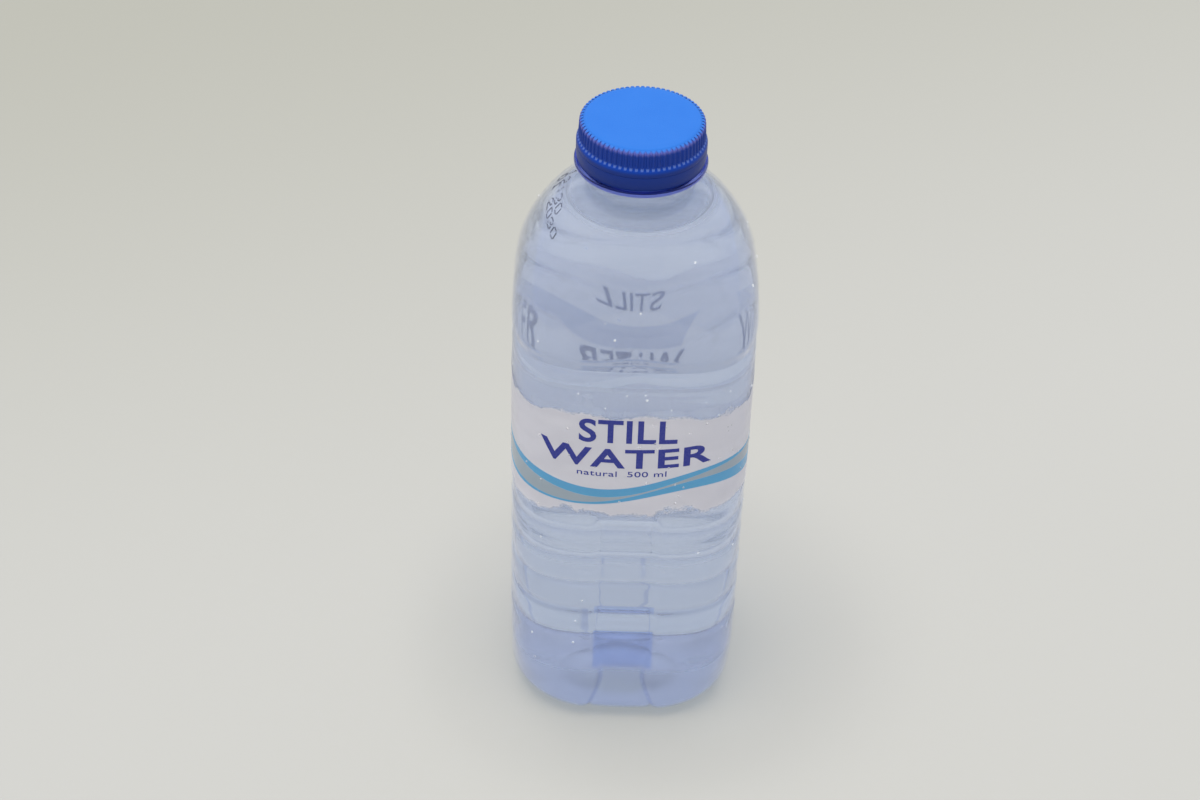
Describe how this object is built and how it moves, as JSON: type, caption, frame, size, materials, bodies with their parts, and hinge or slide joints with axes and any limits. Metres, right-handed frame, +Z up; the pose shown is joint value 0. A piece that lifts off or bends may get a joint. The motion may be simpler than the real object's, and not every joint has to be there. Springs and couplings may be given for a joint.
{
  "type": "water bottle",
  "caption": "Clear rounded-square blown bottle of still water with stiffening rings, printed wrap film, and a knurled screw cap over a tamper band.",
  "frame": {"origin": "middle of the plane that the feet rest on", "axes": "+Z up through the neck and cap, -Y out of the label's front face, +X to the right of it"},
  "size_m": [0.0628, 0.0628, 0.177],
  "materials": {
    "clear_pet": "clear, glossy, faint blue",
    "water": "still water",
    "label_film": "clear film with printed bands",
    "seal": "soft pale sealing compound",
    "blue_polyethylene": "satin moulded blue"
  },
  "bodies": {
    "bottle": {"bottle_body": "clear_pet", "water_fill": "water", "label": "label_film"},
    "seal": {"cap_liner": "seal"},
    "cap": {"cap_shell": "blue_polyethylene"},
    "band": {"tamper_band": "blue_polyethylene"}
  },
  "joints": [
    {"name": "cap_lift", "type": "slide", "parent": "bottle", "child": "seal", "axis": [0, 0, 1], "range_m": [0, 0.0151]},
    {"name": "cap_turn", "type": "hinge", "parent": "seal", "child": "cap", "pos_m": [0, 0, 0.172], "axis": [0, 0, 1], "range_deg": [0, 720]},
    {"name": "band_turn", "type": "hinge", "parent": "bottle", "child": "band", "pos_m": [0, 0, 0.168], "axis": [0, 0, 1], "continuous": true}
  ],
  "couplings": [
    {"joint": "cap_lift", "follows": "cap_turn", "m_per_rad": 0.0011937}
  ]
}
